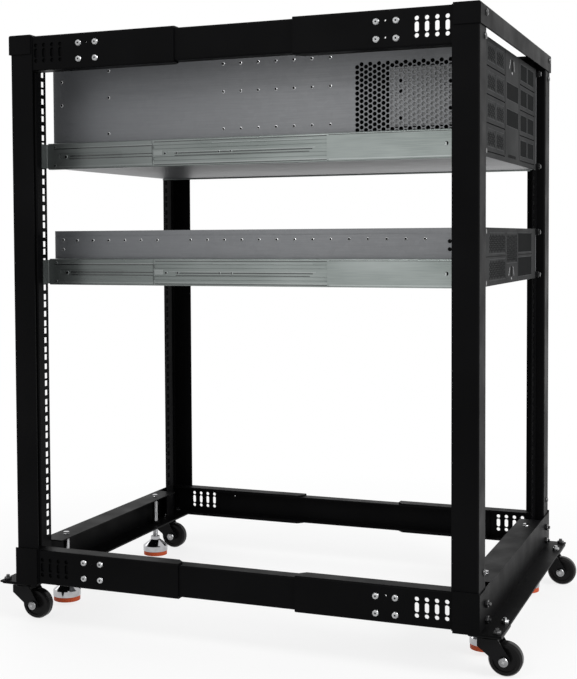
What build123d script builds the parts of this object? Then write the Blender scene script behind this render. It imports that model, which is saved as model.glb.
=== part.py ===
# Four post open frame rack on casters, with two slide mounted equipment housings.
# Millimetres, +Z up, origin on the floor under the middle of the frame.
# The front of the rack faces -Y, and +X is to the right of someone who looks at the rear.
import os

from build123d import *

# Equipment rails, to the nineteen inch rack standard
rack_units = 18
unit_height = 44.45
rail_opening = 447.0
hole_setback = 9.05
rail_hole = 9.5
rail_hole_offsets = (6.35, 22.225, 38.1)
ear_margin = 8.75

# Frame, with the post section measured from the outer corner of the post
rack_depth = 770.0
sheet = 2.0
bend = 3.0
web_depth = 40.0
strip_width = 46.0
rail_flange = 30.5
rail_inset = 16.5

# Cross members
ground_clearance = 65.0
base_height = 58.0
base_plate = 3.0
base_end_rise = 3.0
base_gap = 1.5
rail_start = 9.0
beam_height = 31.0
beam_depth = 40.0
top_margin = 33.9
caster_shelf = 31.0

# Telescoping side rails
sleeve_height = 56.0
sleeve_depth = 28.0
sleeve_wall = 2.5
slide_fit = 0.3
front_sleeve_length = 278.5
rear_sleeve_length = 290.0
flange_cut = 10.0
slot_start = 43.5
slot_pitch = 15.0
slot_count = 4
slot_length = 15.0
slot_width = 6.6
slot_hole = 6.6
slot_hole_offset = 12.4
pilot_hole = 3.4
pilot_start = 135.5
pilot_offset = 12.3
pilot_cover = 31.5

# Casters
caster_inset = 37.0
caster_offset = 8.0
caster_trail = 24.0
wheel_radius = 25.0
wheel_width = 20.0
wheel_gap = 5.0
hub_wall = 4.5
axle_radius = 3.0
axle_head_radius = 5.5
axle_head = 3.0
head_gap = 1.0
cheek_radius = 9.0
cheek_skirt = 12.0
tread_round = 5.0
rim_wall = 7.0
rim_recess = 2.5
caster_plate_x = 72.0
caster_plate_y = 50.0
caster_plate_thickness = 2.5
caster_plate_corner = 5.0
race_radius = 19.0
race_taper = 4.0
race_height = 6.5
crown_thickness = 2.2
king_pin_radius = 3.5
king_pin_head_radius = 6.0
king_pin_head = 2.0
running_fit = 0.3

# Levelling feet
foot_inset = 50.0
foot_setback = 17.5
foot_lift = 7.0
foot_radius = 24.0
foot_rim = 10.0
foot_shoulder = 1.5
foot_bell_height = 22.0
foot_neck_radius = 9.0
pad_radius = 23.0
pad_height = 8.0
stud_radius = 5.0
stud_rise = 3.0
stud_nut_radius = 8.5
stud_nut_height = 6.0

# Equipment housings and their slides
chassis_rear_gap = 8.5
chassis_sheet = 1.2
lid_drop = 8.0
lid_seam = 0.8
seam_depth = 0.6
vent_start = 18.0
vent_length = 178.0
vent_bottom = 34.0
vent_top = 18.0
supply_width = 92.0
supply_height = 66.0
supply_margin = 14.0
supply_depth = 8.0
rear_slot_width = 4.0
rear_slot_height = 44.0
rear_slot_pitch = 10.0
rear_slot_count = 14
ear_thickness = 2.0
ear_gap = 0.3
bezel_thickness = 3.2
bezel_side_gap = 5.5
bezel_sill = 7.5
bezel_gap = 1.6
gap_depth = 2.4
bezel_frame = 17.0
bay_inner = 63.0
cell_frame = 7.0
cell_split = 8.0
cell_depth = 0.9
lower_frame = 38.0
lower_bay_inner = 52.0
lower_cell_corner = 5.0
badge_height = 24.0
unit_clearance = 0.8
upper_first_unit = 1
upper_units = 4
lower_first_unit = 7
lower_units = 2

slide_height = 44.0
slide_sheet = 1.5
slide_side_gap = 1.5
slide_stack = 12.5
slide_drop = 2.0
slide_bend = 2.5
rib_depth = 0.9
rib_height = 7.0
rib_offset = 9.5
bracket_sheet = 1.2
bracket_height = 40.0
rear_bracket_length = 198.0
front_bracket_length = 235.0
bracket_hole = 8.0
bracket_slot_length = 120.0
bracket_slot_width = 9.0
bracket_slot_start = 24.0
member_gap = 0.6
ball_space = 2.0
middle_front_gap = 4.5
middle_rear_gap = 92.5
inner_rear_gap = 68.5
bracket_margin = 7.45

# Values that follow from the driving dimensions
edge_x = rail_opening / 2
hole_x = edge_x + hole_setback
half_width = edge_x + rail_flange + strip_width
half_depth = rack_depth / 2
rail_face = half_depth - rail_inset
flange_x = edge_x - base_gap
frame_bottom = ground_clearance
base_top = frame_bottom + base_height
post_bottom = frame_bottom + base_plate
first_unit_z = base_top + rail_start
rail_top = first_unit_z + rack_units * unit_height
frame_top = rail_top + top_margin
post_top = frame_top - sheet
rail_end = half_depth - bend
caster_x = half_width - caster_inset
caster_y = half_depth + caster_offset
foot_x = flange_x - foot_inset
foot_y = half_depth - foot_setback
slide_outer_face = edge_x - slide_side_gap
chassis_half = slide_outer_face - slide_stack
bezel_half = edge_x - bezel_side_gap
ear_half = hole_x + ear_margin
middle_outer_face = slide_outer_face - slide_sheet - ball_space
flange_tip = chassis_half + slide_sheet + member_gap
inner_flange_tip = middle_outer_face - slide_sheet - member_gap

os.makedirs("parts", exist_ok=True)

sides = {"left": -1, "right": 1}
ends = {"front": -1, "rear": 1}


def save(piece, name):
    piece.part.label = name
    export_step(piece.part, f"parts/{name}.step")


def corner_box(x_range, y_range, z_range, mode=Mode.ADD):
    """A box between two corners, in the part that is open."""
    x0, x1 = sorted(x_range)
    y0, y1 = sorted(y_range)
    z0, z1 = sorted(z_range)
    with Locations(((x0 + x1) / 2, (y0 + y1) / 2, (z0 + z1) / 2)):
        Box(x1 - x0, y1 - y0, z1 - z0, mode=mode)


def channel_section(x_web, x_tip, wall, height, y_end, z_middle, radius, ribs=False):
    """The section of a bent C channel, from its web to its flange tips, at its +Y end."""
    inward = 1 if x_tip > x_web else -1
    half = height / 2
    path = [(x_tip, z_middle + half), (x_web, z_middle + half)]
    if ribs:
        x_rib = x_web + inward * rib_depth
        for z_rib in (z_middle + rib_offset, z_middle - rib_offset):
            path += [
                (x_web, z_rib + rib_height / 2),
                (x_rib, z_rib + rib_height / 2 - rib_depth),
                (x_rib, z_rib - rib_height / 2 + rib_depth),
                (x_web, z_rib - rib_height / 2),
            ]
    path += [(x_web, z_middle - half), (x_tip, z_middle - half)]
    corners = len(path) - 2
    radii = [radius] + [0] * (corners - 2) + [radius]
    with BuildSketch(Plane.XZ.offset(-y_end)) as section:
        with BuildLine():
            FilletPolyline(*path, radius=radii)
            offset(amount=wall, side=Side.LEFT if inward > 0 else Side.RIGHT, closed=True)
        make_face()
    return section.sketch


def make_post(side, end):
    """A post folded from one sheet: side web, outer strip, step and drilled rail."""
    x_web = side * half_width
    y_strip = end * half_depth

    def corner(inward, back):
        return (x_web - side * inward, y_strip - end * back)

    outside = [
        corner(0, web_depth),
        corner(0, 0),
        corner(strip_width, 0),
        corner(strip_width, rail_inset),
        corner(strip_width + rail_flange, rail_inset),
    ]
    holes = [
        (side * hole_x, first_unit_z + unit * unit_height + offset)
        for unit in range(rack_units)
        for offset in rail_hole_offsets
    ]
    with BuildPart() as post:
        with BuildSketch(Plane.XY.offset(post_bottom)):
            with BuildLine():
                FilletPolyline(*outside, radius=[bend, bend, bend - sheet])
                offset(amount=sheet, side=Side.LEFT if side == end else Side.RIGHT, closed=True)
            make_face()
        extrude(amount=post_top - post_bottom)
        with BuildSketch(Plane.XZ.offset(-end * (rail_face - sheet / 2))):
            with Locations(*holes):
                Rectangle(rail_hole, rail_hole)
        extrude(amount=sheet, both=True, mode=Mode.SUBTRACT)
    return post


def make_top_beam(end):
    """The top cross beam: a tray that caps both posts of one end."""
    face_edge = 0 if end < 0 else -1
    end_x = half_width + sheet
    outer = end * (half_depth + sheet)
    inner = end * (half_depth + sheet - beam_depth)
    with BuildPart() as beam:
        corner_box((-end_x, end_x), (outer, inner), (frame_top - beam_height, frame_top))
        fillet(beam.edges().filter_by(Axis.X).group_by(Axis.Z)[-1].sort_by(Axis.Y)[face_edge], bend)
        corner_box(
            (-half_width, half_width),
            (end * half_depth, inner - end * sheet),
            (frame_top - beam_height - 1, post_top),
            mode=Mode.SUBTRACT,
        )
    return beam


def make_base_beam(end):
    """The bottom cross beam: face plate, caster shelf, foot flange and end plates."""
    end_x = half_width + sheet
    outer = end * (half_depth + sheet)
    inner = end * (half_depth + sheet - beam_depth)
    shelf = end * (half_depth + sheet + caster_shelf)
    with BuildPart() as beam:
        corner_box((-end_x, end_x), (outer, end * half_depth), (frame_bottom, base_top))
        corner_box((-end_x, end_x), (shelf, inner), (frame_bottom, post_bottom))
        corner_box((-flange_x, flange_x), (outer, inner), (base_top - sheet, base_top))
        for side in sides.values():
            corner_box(
                (side * half_width, side * end_x),
                (outer, inner),
                (frame_bottom, base_top + base_end_rise),
            )
        with BuildSketch(Plane.XY.offset(post_bottom)):
            with Locations(*[(side * foot_x, end * foot_y) for side in sides.values()]):
                RegularPolygon(stud_nut_radius, 6)
        extrude(amount=stud_nut_height)
        with Locations(*[(side * foot_x, end * foot_y, frame_bottom) for side in sides.values()]):
            Cylinder(
                stud_radius + running_fit,
                base_height,
                align=(Align.CENTER, Align.CENTER, Align.MIN),
                mode=Mode.SUBTRACT,
            )
    return beam


def make_sleeve(side, end, z_middle, y_range, pilots):
    """One outer sleeve of a side rail, with its column slots beside the post."""
    x_web = side * (half_width - sheet)
    x_tip = side * (half_width - sheet - sleeve_depth)
    y_post = end * rail_end
    y_open = y_post - end * (y_range[1] - y_range[0])
    columns = [y_post - end * (slot_start + slot_pitch * i) for i in range(slot_count)]
    with BuildPart() as sleeve:
        section = channel_section(x_web, x_tip, sleeve_wall, sleeve_height, y_range[1], z_middle, bend)
        extrude(section, amount=y_range[1] - y_range[0])
        with BuildSketch(Plane.YZ.offset(x_web)):
            with Locations(*[(y, z_middle) for y in columns]):
                SlotOverall(slot_length, slot_width, rotation=90)
            with Locations(*[(y, z_middle + slot_hole_offset) for y in columns]):
                Circle(slot_hole / 2)
            with Locations(*[(y, z_middle - slot_hole_offset) for y in columns]):
                Circle(slot_hole / 2)
            with Locations(*pilots):
                Circle(pilot_hole / 2)
        extrude(amount=bend, both=True, mode=Mode.SUBTRACT)
        with BuildSketch(Plane.XY.offset(z_middle - sleeve_height / 2)):
            with BuildLine():
                Polyline(
                    (x_tip, y_open),
                    (x_tip, y_open + end * flange_cut),
                    (x_tip + side * flange_cut, y_open),
                    close=True,
                )
            make_face()
        extrude(amount=sleeve_height, mode=Mode.SUBTRACT)
    return sleeve


def make_bar(side, z_middle, y_range, pilots):
    """The inner bar of a side rail, which joins its two sleeves."""
    inset = sleeve_wall + slide_fit
    x_web = side * (half_width - sheet - inset)
    x_tip = side * (half_width - sheet - sleeve_depth)
    with BuildPart() as bar:
        height = sleeve_height - 2 * inset
        section = channel_section(x_web, x_tip, sleeve_wall, height, y_range[1], z_middle, bend)
        extrude(section, amount=y_range[1] - y_range[0])
        with BuildSketch(Plane.YZ.offset(x_web)):
            with Locations(*pilots):
                Circle(pilot_hole / 2)
        extrude(amount=bend, both=True, mode=Mode.SUBTRACT)
    return bar


def make_caster_mount(x, y):
    """The fixed half of a caster: the bolted plate, the ball race and the king pin."""
    race_bottom = frame_bottom - caster_plate_thickness - race_height
    with BuildPart() as mount:
        with BuildSketch(Plane.XY.offset(frame_bottom - caster_plate_thickness)):
            with Locations((x, y)):
                RectangleRounded(caster_plate_x, caster_plate_y, caster_plate_corner)
        extrude(amount=caster_plate_thickness)
        with BuildSketch(Plane.XY.offset(race_bottom)):
            with Locations((x, y)):
                Circle(race_radius - race_taper)
        with BuildSketch(Plane.XY.offset(frame_bottom - caster_plate_thickness)):
            with Locations((x, y)):
                Circle(race_radius)
        loft()
        head_top = race_bottom - crown_thickness - 2 * running_fit
        with Locations((x, y, head_top)):
            Cylinder(king_pin_head_radius, king_pin_head, align=(Align.CENTER, Align.CENTER, Align.MAX))
            Cylinder(king_pin_radius, race_bottom - head_top, align=(Align.CENTER, Align.CENTER, Align.MIN))
    return mount


def make_fork(x, y):
    """The swivelling half of a caster: crown, two cheeks and the axle bolt."""
    race_bottom = frame_bottom - caster_plate_thickness - race_height
    crown_top = race_bottom - running_fit
    crown_bottom = crown_top - crown_thickness
    half_gap = wheel_width / 2 + wheel_gap
    axle_y = y - caster_trail
    with BuildPart() as fork:
        with Locations((x, y, crown_bottom)):
            Cylinder(race_radius, crown_thickness, align=(Align.CENTER, Align.CENTER, Align.MIN))
            Box(
                2 * (half_gap + sheet),
                2 * (race_radius - race_taper),
                crown_thickness,
                align=(Align.CENTER, Align.CENTER, Align.MIN),
            )
        with BuildSketch(Plane.YZ.offset(x)):
            with Locations((axle_y, wheel_radius)):
                Circle(cheek_radius)
            with Locations((y, crown_top - cheek_skirt / 2)):
                Rectangle(2 * (race_radius - race_taper), cheek_skirt)
            make_hull()
        extrude(amount=half_gap + sheet, both=True)
        reach = caster_trail + wheel_radius
        gap_x = (x - half_gap, x + half_gap)
        corner_box(gap_x, (y + reach, y - reach), (0, crown_bottom), mode=Mode.SUBTRACT)
        with Locations((x, y, crown_bottom)):
            Cylinder(
                king_pin_radius + running_fit,
                crown_thickness,
                align=(Align.CENTER, Align.CENTER, Align.MIN),
                mode=Mode.SUBTRACT,
            )
        with Locations(Location((x, axle_y, wheel_radius), (0, 90, 0))):
            Cylinder(axle_radius, 2 * (half_gap + sheet))
            Cylinder(axle_head_radius, 2 * (half_gap + sheet + axle_head))
            Cylinder(axle_head_radius + head_gap, 2 * half_gap, mode=Mode.SUBTRACT)
            Cylinder(axle_radius, 2 * half_gap)
    return fork


def make_wheel(x, y):
    """A caster wheel with a rounded tread and a hub that runs on the axle bolt."""
    half_gap = wheel_width / 2 + wheel_gap
    centre = Location((x, y - caster_trail, wheel_radius), (0, 90, 0))
    with BuildPart() as wheel:
        with Locations(centre):
            Cylinder(wheel_radius, wheel_width)
        chamfer(wheel.edges(), tread_round, tread_round / 2)
        with Locations(centre):
            Cylinder(wheel_radius - rim_wall, wheel_width, mode=Mode.SUBTRACT)
            Cylinder(wheel_radius - rim_wall, wheel_width - 2 * rim_recess)
            Cylinder(axle_radius + hub_wall, 2 * (half_gap - running_fit))
            Cylinder(axle_radius + running_fit, 2 * half_gap, mode=Mode.SUBTRACT)
    return wheel


def make_foot(x, y):
    """A levelling foot: the bell shaped base and its long stud."""
    with BuildPart() as foot:
        with BuildSketch(Plane.XZ.offset(-y)):
            with BuildLine():
                bell_bottom = foot_lift + pad_height
                rim = bell_bottom + foot_rim
                neck = bell_bottom + foot_bell_height
                Polyline(
                    (x, bell_bottom),
                    (x + foot_radius, bell_bottom),
                    (x + foot_radius, rim),
                    (x + foot_radius - foot_shoulder, rim + foot_shoulder),
                    (x + foot_neck_radius, neck),
                    (x + stud_radius, neck),
                    (x + stud_radius, base_top + stud_rise),
                    (x, base_top + stud_rise),
                    (x, bell_bottom),
                )
            make_face()
        revolve(axis=Axis((x, y, 0), (0, 0, 1)))
        with BuildSketch(Plane.XY.offset(neck)):
            with Locations((x, y)):
                RegularPolygon(foot_neck_radius, 6)
        extrude(amount=stud_nut_height)
    return foot


def make_pad(x, y):
    """The rubber pad under a levelling foot."""
    with BuildPart() as pad:
        with Locations((x, y, foot_lift)):
            Cylinder(pad_radius, pad_height, align=(Align.CENTER, Align.CENTER, Align.MIN))
    return pad


def vent_window(z_bottom, z_top):
    """The place of the perforated panel in the side of a housing: its Y and Z ranges."""
    y_front = -rail_face + vent_start
    return (y_front, y_front + vent_length), (z_bottom + vent_bottom, z_top - vent_top)


def make_chassis(z_bottom, z_top, vented):
    """A closed equipment housing with its lid, mounting ears and rear power supply bays."""
    front = -rail_face - ear_gap - ear_thickness
    chassis_rear = rail_face - chassis_rear_gap
    inside = chassis_half - chassis_sheet
    with BuildPart() as chassis:
        corner_box((-chassis_half, chassis_half), (front, chassis_rear), (z_bottom, z_top))
        corner_box(
            (-inside, inside),
            (front + chassis_sheet, chassis_rear - chassis_sheet),
            (z_bottom + chassis_sheet, z_top - chassis_sheet),
            mode=Mode.SUBTRACT,
        )
        for side in sides.values():
            corner_box((side * inside, side * ear_half), (front, front + ear_thickness), (z_bottom, z_top))
            corner_box(
                (side * (chassis_half - seam_depth), side * (chassis_half + seam_depth)),
                (front + ear_thickness, chassis_rear + seam_depth),
                (z_top - lid_drop - lid_seam, z_top - lid_drop),
                mode=Mode.SUBTRACT,
            )
            if vented:
                y_range, z_range = vent_window(z_bottom, z_top)
                corner_box((side * inside, side * chassis_half), y_range, z_range, mode=Mode.SUBTRACT)
        supply_x = chassis_half - supply_margin - supply_width / 2
        supply_z = z_bottom + supply_margin / 2 + supply_height / 2
        supplies = [(-supply_x, supply_z), (-supply_x + supply_width + supply_margin, supply_z)]
        with BuildSketch(Plane.XZ.offset(-chassis_rear)):
            with Locations(*supplies):
                RectangleRounded(supply_width, supply_height, 2 * chassis_sheet)
        extrude(amount=supply_depth)
        wall = 2 * chassis_sheet
        with BuildSketch(Plane.XZ.offset(-chassis_rear)):
            with Locations(*supplies):
                RectangleRounded(supply_width - wall, supply_height - wall, chassis_sheet)
        extrude(amount=supply_depth - chassis_sheet, mode=Mode.SUBTRACT)
        with BuildSketch(Plane.XZ.offset(-chassis_rear)):
            with Locations((chassis_half / 2, z_bottom + supply_margin / 2 + rear_slot_height / 2)):
                with GridLocations(rear_slot_pitch, 0, rear_slot_count, 1):
                    Rectangle(rear_slot_width, rear_slot_height)
        extrude(amount=wall, both=True, mode=Mode.SUBTRACT)
    return chassis


def make_vent_panel(side, z_bottom, z_top):
    """The panel that closes the vent window in one side of the upper housing."""
    y_range, z_range = vent_window(z_bottom, z_top)
    with BuildPart() as panel:
        corner_box((side * (chassis_half - chassis_sheet), side * chassis_half), y_range, z_range)
    return panel


def make_upper_bezel(z_bottom, z_top):
    """The upper bezel: two columns of drive bays around a plain centre strip."""
    front = -rail_face - ear_gap - ear_thickness - bezel_thickness
    sill = z_bottom + bezel_sill
    pitch = (z_top - sill) / upper_units
    bay_outer = bezel_half - bezel_frame
    bay_width = bay_outer - bay_inner
    cell_x = bay_width / 2 - cell_frame - cell_split / 2
    bay_middle = bay_inner + bay_width / 2
    unit_z = [sill + (unit + 0.5) * pitch for unit in range(upper_units)]
    bays = [(side * bay_middle, z) for side in sides.values() for z in unit_z]
    gaps = [(side * bay_middle, z - pitch / 2) for side in sides.values() for z in unit_z]
    with BuildPart() as bezel:
        corner_box((-bezel_half, bezel_half), (front, front + bezel_thickness), (z_bottom, z_top))
        with BuildSketch(Plane.XZ.offset(-front)):
            with Locations(*bays):
                with GridLocations(cell_x + cell_split, 0, 2, 1):
                    Rectangle(cell_x, pitch - 2 * cell_frame)
            with Locations(*[(0, z) for z in unit_z[1:-1]]):
                Rectangle(2 * (bay_inner - 2 * cell_frame), pitch - 2 * cell_frame)
        extrude(amount=-cell_depth, mode=Mode.SUBTRACT)
        with BuildSketch(Plane.XZ.offset(-front)):
            with Locations(*gaps):
                Rectangle(bay_width, bezel_gap)
            with Locations((-bay_inner, (sill + z_top) / 2), (bay_inner, (sill + z_top) / 2)):
                Rectangle(bezel_gap, z_top - sill - 2 * bezel_gap)
        extrude(amount=-gap_depth, mode=Mode.SUBTRACT)
    return bezel


def make_lower_bezel(z_bottom, z_top):
    """The lower bezel: rounded cells beside a centre strip."""
    front = -rail_face - ear_gap - ear_thickness - bezel_thickness
    cell_height = (z_top - z_bottom - 3 * cell_frame) / 2
    cell_width = bezel_half - lower_frame - lower_bay_inner
    rows = (z_bottom + cell_frame + cell_height / 2, z_top - cell_frame - cell_height / 2)
    centre_height = z_top - z_bottom - 2 * cell_frame - badge_height
    cells = [(side * (lower_bay_inner + cell_width / 2), z) for side in sides.values() for z in rows]
    with BuildPart() as bezel:
        corner_box((-bezel_half, bezel_half), (front, front + bezel_thickness), (z_bottom, z_top))
        with BuildSketch(Plane.XZ.offset(-front)):
            with Locations(*cells):
                RectangleRounded(cell_width, cell_height, lower_cell_corner)
            with Locations((0, z_top - cell_frame - centre_height / 2)):
                Rectangle(2 * (lower_bay_inner - cell_frame), centre_height)
        extrude(amount=-cell_depth, mode=Mode.SUBTRACT)
    return bezel


def make_outer_slides(z_middle):
    """The fixed slide members of one housing, each with a bracket and an ear on both rails."""
    front = -rail_face + sheet
    rear = rail_face - sheet
    ear_x = hole_x + bracket_margin
    with BuildPart() as slides:
        for side in sides.values():
            x_web = side * slide_outer_face
            x_tip = side * flange_tip
            y_end = rear - slide_bend
            section = channel_section(
                x_web, x_tip, slide_sheet, slide_height, y_end, z_middle, slide_bend, ribs=True
            )
            extrude(section, amount=y_end - front - slide_bend)
            for y_ear, length in ((rear, -rear_bracket_length), (front, front_bracket_length)):
                turn = Side.RIGHT if side * length < 0 else Side.LEFT
                with BuildSketch(Plane.XY.offset(z_middle - bracket_height / 2)):
                    with BuildLine():
                        FilletPolyline(
                            (x_web, y_ear + length),
                            (x_web, y_ear),
                            (side * ear_x, y_ear),
                            radius=slide_bend,
                        )
                        offset(amount=bracket_sheet, side=turn, closed=True)
                    make_face()
                extrude(amount=bracket_height)
            slot_y = rear - bracket_slot_start - bracket_slot_length / 2
            with BuildSketch(Plane.YZ.offset(x_web)):
                with Locations((slot_y, z_middle)):
                    SlotOverall(bracket_slot_length, bracket_slot_width)
                with Locations((front + bracket_slot_start + bracket_hole, z_middle)):
                    SlotOverall(2 * bracket_hole, bracket_hole)
            extrude(amount=side * bracket_sheet, mode=Mode.SUBTRACT)
    return slides


def make_middle_slides(z_middle):
    """The middle slide members, which run at half the travel of the housing."""
    height = slide_height - 2 * (slide_sheet + member_gap)
    y_front = -rail_face + middle_front_gap
    y_rear = rail_face - middle_rear_gap
    with BuildPart() as slides:
        for side in sides.values():
            x_web = side * middle_outer_face
            x_tip = side * flange_tip
            section = channel_section(x_web, x_tip, slide_sheet, height, y_rear, z_middle, slide_bend)
            extrude(section, amount=y_rear - y_front)
    return slides


def make_inner_slides(z_middle):
    """The inner slide members, screwed to the sides of the housing."""
    height = slide_height - 4 * (slide_sheet + member_gap)
    y_rear = rail_face - inner_rear_gap
    with BuildPart() as slides:
        for side in sides.values():
            x_web = side * chassis_half
            x_tip = side * inner_flange_tip
            section = channel_section(x_web, x_tip, slide_sheet, height, y_rear, z_middle, slide_bend)
            extrude(section, amount=y_rear + rail_face)
    return slides


for end_name, end in ends.items():
    save(make_top_beam(end), f"top_beam_{end_name}")
    save(make_base_beam(end), f"base_beam_{end_name}")
    for side_name, side in sides.items():
        place = f"{end_name}_{side_name}"
        save(make_post(side, end), f"post_{place}")
        x, y = side * caster_x, end * caster_y
        save(make_caster_mount(x, y), f"caster_mount_{place}")
        save(make_fork(x, y), f"caster_fork_{place}")
        save(make_wheel(x, y), f"wheel_{place}")
        x, y = side * foot_x, end * foot_y
        save(make_foot(x, y), f"foot_{place}")
        save(make_pad(x, y), f"foot_pad_{place}")

levels = {"upper": post_top - sleeve_height / 2, "lower": post_bottom + sleeve_height / 2}
sleeve_spans = {
    "front": (-rail_end, -rail_end + front_sleeve_length),
    "rear": (rail_end - rear_sleeve_length, rail_end),
}
bar_span = (-rail_end + pilot_start - pilot_cover, rail_end)
pilot_rows = {"upper": {"front": (1, -1), "rear": (1,)}, "lower": {"front": (1,), "rear": (1,)}}
for level, z_middle in levels.items():
    for side_name, side in sides.items():
        pilots = []
        for end_name, span in sleeve_spans.items():
            end = ends[end_name]
            pilot_y = end * (rail_end - pilot_start)
            sleeve_pilots = [(pilot_y, z_middle + row * pilot_offset) for row in pilot_rows[level][end_name]]
            pilots += sleeve_pilots
            sleeve = make_sleeve(side, end, z_middle, span, sleeve_pilots)
            save(sleeve, f"side_sleeve_{level}_{end_name}_{side_name}")
        save(make_bar(side, z_middle, bar_span, pilots), f"side_bar_{level}_{side_name}")

upper_top = rail_top - (upper_first_unit - 1) * unit_height
hole_step = rail_hole_offsets[1] - rail_hole_offsets[0]
lower_top = rail_top - (lower_first_unit - 1) * unit_height - hole_step
housings = {"upper": (upper_top, upper_units), "lower": (lower_top, lower_units)}
for name, (unit_top, units) in housings.items():
    z_bottom = unit_top - units * unit_height + unit_clearance / 2
    z_top = unit_top - unit_clearance / 2
    z_slide = unit_top - units * unit_height + slide_height / 2 - slide_drop
    vented = name == "upper"
    save(make_chassis(z_bottom, z_top, vented), f"chassis_{name}")
    if vented:
        save(make_upper_bezel(z_bottom, z_top), f"bezel_{name}")
        for side_name, side in sides.items():
            save(make_vent_panel(side, z_bottom, z_top), f"vent_panel_{side_name}")
    else:
        save(make_lower_bezel(z_bottom, z_top), f"bezel_{name}")
    save(make_outer_slides(z_slide), f"slide_outer_{name}")
    save(make_middle_slides(z_slide), f"slide_middle_{name}")
    save(make_inner_slides(z_slide), f"slide_inner_{name}")
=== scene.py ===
import math

import bmesh
import bpy
from mathutils import Matrix, Vector


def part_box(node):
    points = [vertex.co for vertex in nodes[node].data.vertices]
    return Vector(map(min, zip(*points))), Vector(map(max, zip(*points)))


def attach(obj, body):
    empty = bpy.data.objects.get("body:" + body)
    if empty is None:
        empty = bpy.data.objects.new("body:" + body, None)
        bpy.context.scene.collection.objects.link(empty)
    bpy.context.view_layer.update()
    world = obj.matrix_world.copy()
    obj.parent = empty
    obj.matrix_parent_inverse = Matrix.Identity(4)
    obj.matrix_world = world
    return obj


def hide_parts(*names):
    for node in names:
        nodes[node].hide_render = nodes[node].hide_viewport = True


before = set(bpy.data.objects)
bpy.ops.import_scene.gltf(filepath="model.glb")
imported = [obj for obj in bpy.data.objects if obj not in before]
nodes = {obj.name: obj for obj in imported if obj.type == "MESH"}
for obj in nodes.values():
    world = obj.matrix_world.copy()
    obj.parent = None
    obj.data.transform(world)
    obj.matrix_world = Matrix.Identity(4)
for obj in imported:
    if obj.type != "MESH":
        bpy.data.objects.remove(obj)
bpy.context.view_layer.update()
corners = ["front_left", "front_right", "rear_left", "rear_right"]
levels = ["upper", "lower"]
sides = {"left": -1, "right": 1}
ends = {"front": -1, "rear": 1}
mm = 0.001
seamGap = 1e-6  # corners nearer than this, in metres, become one
print("packed rack loaded:", len(nodes), "nodes")

# camera, solved from the rack's own edges in the photograph
cameraPlace = {
    "position": (-2.086522, -0.770612, 0.634703),
    "azimuth": -67.7316,
    "elevation": 2.5086,
    "roll": -0.3321,
    "focalPixels": 1274.246,
    "centre": (252.831, 294.319),
    "image": (577, 679),
    "sensorWidth": 36.0,
    "reach": 50,
}


def placeCamera(values):
    turn, rise, roll = (math.radians(values[k]) for k in ("azimuth", "elevation", "roll"))
    back = Vector((math.sin(turn) * math.cos(rise), -math.cos(turn) * math.cos(rise), math.sin(rise)))
    level = (-back).cross(Vector((0, 0, 1))).normalized()
    upright = level.cross(-back)
    right = level * math.cos(roll) + upright * math.sin(roll)
    up = upright * math.cos(roll) - level * math.sin(roll)
    wide, high = values["image"]
    data = bpy.data.cameras.new("studioCamera")
    data.sensor_fit = "HORIZONTAL"
    data.sensor_width = values["sensorWidth"]
    data.lens = values["focalPixels"] * values["sensorWidth"] / wide
    data.shift_x = (wide / 2 - values["centre"][0]) / wide
    data.shift_y = (values["centre"][1] - high / 2) / wide
    data.clip_end = values["reach"]
    viewer = bpy.data.objects.new("studioCamera", data)
    bpy.context.scene.collection.objects.link(viewer)
    turned = Matrix((right, up, back)).transposed().to_4x4()
    viewer.matrix_world = Matrix.Translation(values["position"]) @ turned
    bpy.context.scene.camera = viewer


placeCamera(cameraPlace)
print("camera placed")


# finishes: every one reads the rack's own coordinates in metres
def startFinish(name, color, roughness, metallic=0.0, specular=0.5):
    finish = bpy.data.materials.new(name)
    finish.use_nodes = True
    finish.diffuse_color = (*color, 1)
    shader = finish.node_tree.nodes["Principled BSDF"]
    shader.inputs["Base Color"].default_value = (*color, 1)
    shader.inputs["Roughness"].default_value = roughness
    shader.inputs["Metallic"].default_value = metallic
    shader.inputs["Specular IOR Level"].default_value = specular
    return finish, finish.node_tree, shader


def addGrain(tree, size, stretch=(1, 1, 1), detail=3.0, kind="ShaderNodeTexNoise"):
    where = tree.nodes.new("ShaderNodeTexCoord")
    mapping = tree.nodes.new("ShaderNodeMapping")
    mapping.inputs["Scale"].default_value = stretch
    texture = tree.nodes.new(kind)
    texture.inputs["Scale"].default_value = 1 / size
    if kind == "ShaderNodeTexNoise":
        texture.inputs["Detail"].default_value = detail
    tree.links.new(where.outputs["Object"], mapping.inputs["Vector"])
    tree.links.new(mapping.outputs["Vector"], texture.inputs["Vector"])
    return texture


def spread(tree, source, low, high, start=0.3, end=0.7):
    # what runs from start to end comes out as low to high
    band = tree.nodes.new("ShaderNodeMapRange")
    band.inputs["From Min"].default_value = start
    band.inputs["From Max"].default_value = end
    band.inputs["To Min"].default_value = low
    band.inputs["To Max"].default_value = high
    tree.links.new(source, band.inputs["Value"])
    return band.outputs["Result"]


def paintedShadeTowardsRear(tree, band, share):
    # painted shade: grows from nothing at the band's front to its share at the band's rear
    where = tree.nodes.new("ShaderNodeTexCoord")
    parts = tree.nodes.new("ShaderNodeSeparateXYZ")
    tree.links.new(where.outputs["Object"], parts.inputs[0])
    return spread(tree, parts.outputs["Y"], 0, share, *band)


def blendColors(tree, factor, first, second):
    mix = tree.nodes.new("ShaderNodeMix")
    mix.data_type = "RGBA"
    for socket, value in ((mix.inputs[6], first), (mix.inputs[7], second)):
        if isinstance(value, tuple):
            socket.default_value = (*value, 1)
        else:
            tree.links.new(value, socket)
    tree.links.new(factor, mix.inputs[0])
    return mix.outputs[2]


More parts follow.
